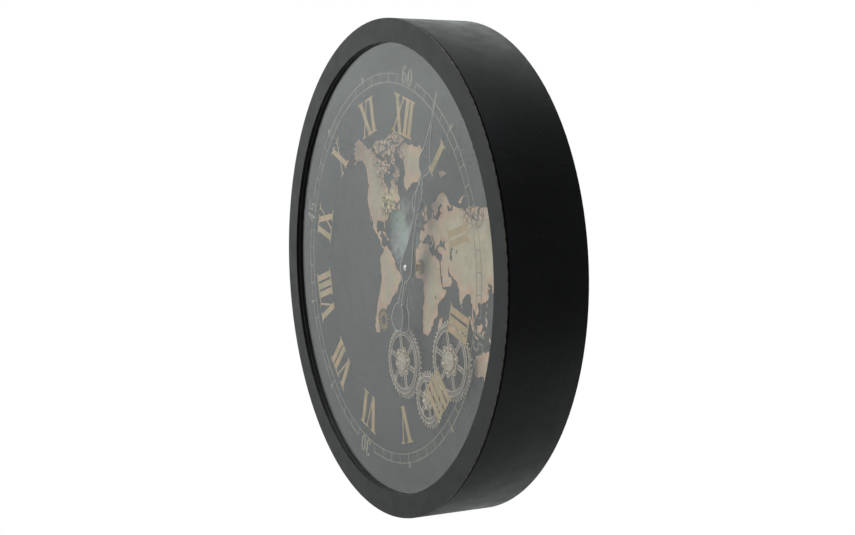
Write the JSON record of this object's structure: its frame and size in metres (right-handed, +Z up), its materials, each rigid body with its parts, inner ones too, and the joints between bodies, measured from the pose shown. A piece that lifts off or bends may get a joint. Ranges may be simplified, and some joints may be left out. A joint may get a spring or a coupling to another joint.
{
  "type": "wall clock",
  "caption": "Deep round wall clock with a world map dial, Roman figures on the lens, ornate hands and open display gears low on the dial.",
  "frame": {"origin": "centre of the drum's rear rim, on the plane of the wall and on the dial's axis", "axes": "+Y out of the back towards the wall, dial faces -Y, +Z up to XII, +X to the right as seen from the front"},
  "size_m": [0.6, 0.1, 0.6],
  "materials": {
    "black_paint": "satin black paint, slightly worn at the edges",
    "inner_black": "matt black paint",
    "black_rubber": "matt black rubber",
    "clear_lens": "clear polished glass",
    "bare_steel": "zinc plated",
    "motor_steel": "plated can",
    "figure_gold": "printed old gold",
    "dial_dark": "aged dark paint, satin",
    "map_copper": "pressed copper foil with dark patina",
    "map_gold": "satin gold",
    "gear_brass": "antique brushed brass",
    "gear_dark": "dark brown paint",
    "rosette_brass": "antique brass with bright rivets",
    "cap_brass": "turned brass",
    "hand_gunmetal": "dark gunmetal with bright bare edges",
    "bright_nickel": "polished nickel",
    "machined_brass": "turned brass",
    "black_moulding": "fine texture",
    "white_moulding": "natural acetal",
    "copper_winding": "enamelled copper wire",
    "cell_sleeve": "plain printed sleeve",
    "back_board": "black painted hardboard",
    "red_insulation": "smooth",
    "black_insulation": "smooth"
  },
  "bodies": {
    "case": {"drum_case": "black_paint", "front_bezel": "black_paint", "lens_gasket": "black_rubber", "glass_lens": "clear_lens", "lens_retainer": "inner_black", "dial_well": "inner_black", "ring_nuts": "bare_steel", "hour_numerals": "figure_gold", "minute_track": "figure_gold", "minute_numbers": "figure_gold", "dial_plate": "dial_dark", "map_land": "map_copper", "map_ornament": "map_gold", "gear_studs": "bare_steel", "stud_clips": "bare_steel", "stud_nuts": "bare_steel", "drive_bush": "machined_brass", "gearbox_case": "black_moulding", "gearbox_cover": "black_moulding", "gear_motor": "motor_steel", "movement_case": "black_moulding", "movement_cover": "black_moulding", "threaded_bushing": "machined_brass", "rubber_washer": "black_rubber", "bushing_nut": "machined_brass", "stepper_coil": "copper_winding", "movement_cell": "cell_sleeve", "back_cover": "back_board", "lid_rails": "black_moulding", "battery_box": "black_moulding", "battery_cells": "cell_sleeve", "switch_body": "black_moulding", "hanger_plate": "bare_steel", "back_screws": "bare_steel", "lead_red": "red_insulation", "lead_black": "black_insulation"},
    "minute": {"minute_hand": "hand_gunmetal", "cap_nut": "bright_nickel", "minute_arbor": "bare_steel"},
    "hour": {"hour_hand": "hand_gunmetal", "hour_tube": "machined_brass"},
    "setting": {"motion_wheel": "white_moulding", "setting_knob": "black_moulding"},
    "large_gear_group": {"large_gear": "gear_brass", "large_gear_disc": "gear_dark", "large_gear_rosette": "rosette_brass", "large_gear_cap": "cap_brass", "drive_shaft": "bare_steel", "output_wheel": "machined_brass"},
    "small_gear_group": {"small_gear": "gear_brass", "small_gear_disc": "gear_dark", "small_gear_rosette": "rosette_brass", "small_gear_cap": "cap_brass"},
    "left_gear_group": {"left_gear": "gear_brass", "left_gear_disc": "gear_dark", "left_gear_rosette": "rosette_brass", "left_gear_cap": "cap_brass"},
    "rotor": {"motor_pinion": "bare_steel"},
    "slider": {"switch_slider": "white_moulding"},
    "lid": {"battery_lid": "black_moulding"}
  },
  "joints": [
    {"name": "minute_turn", "type": "hinge", "parent": "case", "child": "minute", "pos_m": [0, -0.05, 0], "axis": [0, 1, 0], "continuous": true},
    {"name": "hour_turn", "type": "hinge", "parent": "case", "child": "hour", "pos_m": [0, -0.05, 0], "axis": [0, 1, 0], "continuous": true},
    {"name": "setting_turn", "type": "hinge", "parent": "case", "child": "setting", "pos_m": [0.01065, -0.05, 0.00746], "axis": [0, 1, 0], "continuous": true},
    {"name": "large_gear_turn", "type": "hinge", "parent": "case", "child": "large_gear_group", "pos_m": [0.11569, -0.05, -0.07668], "axis": [0, 1, 0], "continuous": true},
    {"name": "small_gear_turn", "type": "hinge", "parent": "case", "child": "small_gear_group", "pos_m": [0.075, -0.05, -0.1444], "axis": [0, 1, 0], "continuous": true},
    {"name": "left_gear_turn", "type": "hinge", "parent": "case", "child": "left_gear_group", "pos_m": [0.00035, -0.05, -0.12551], "axis": [0, 1, 0], "continuous": true},
    {"name": "motor_turn", "type": "hinge", "parent": "case", "child": "rotor", "pos_m": [0.11569, -0.05, -0.09168], "axis": [0, 1, 0], "continuous": true},
    {"name": "switch_slide", "type": "slide", "parent": "case", "child": "slider", "axis": [1, 0, 0], "range_m": [0, 0.004]},
    {"name": "lid_slide", "type": "slide", "parent": "case", "child": "lid", "axis": [-1, 0, 0], "range_m": [0, 0.054]}
  ],
  "couplings": [
    {"joint": "hour_turn", "follows": "minute_turn", "ratio": 0.083333},
    {"joint": "setting_turn", "follows": "minute_turn", "ratio": -0.33333},
    {"joint": "small_gear_turn", "follows": "large_gear_turn", "ratio": -1.3939},
    {"joint": "left_gear_turn", "follows": "large_gear_turn", "ratio": 1.0455},
    {"joint": "motor_turn", "follows": "large_gear_turn", "ratio": -4}
  ]
}
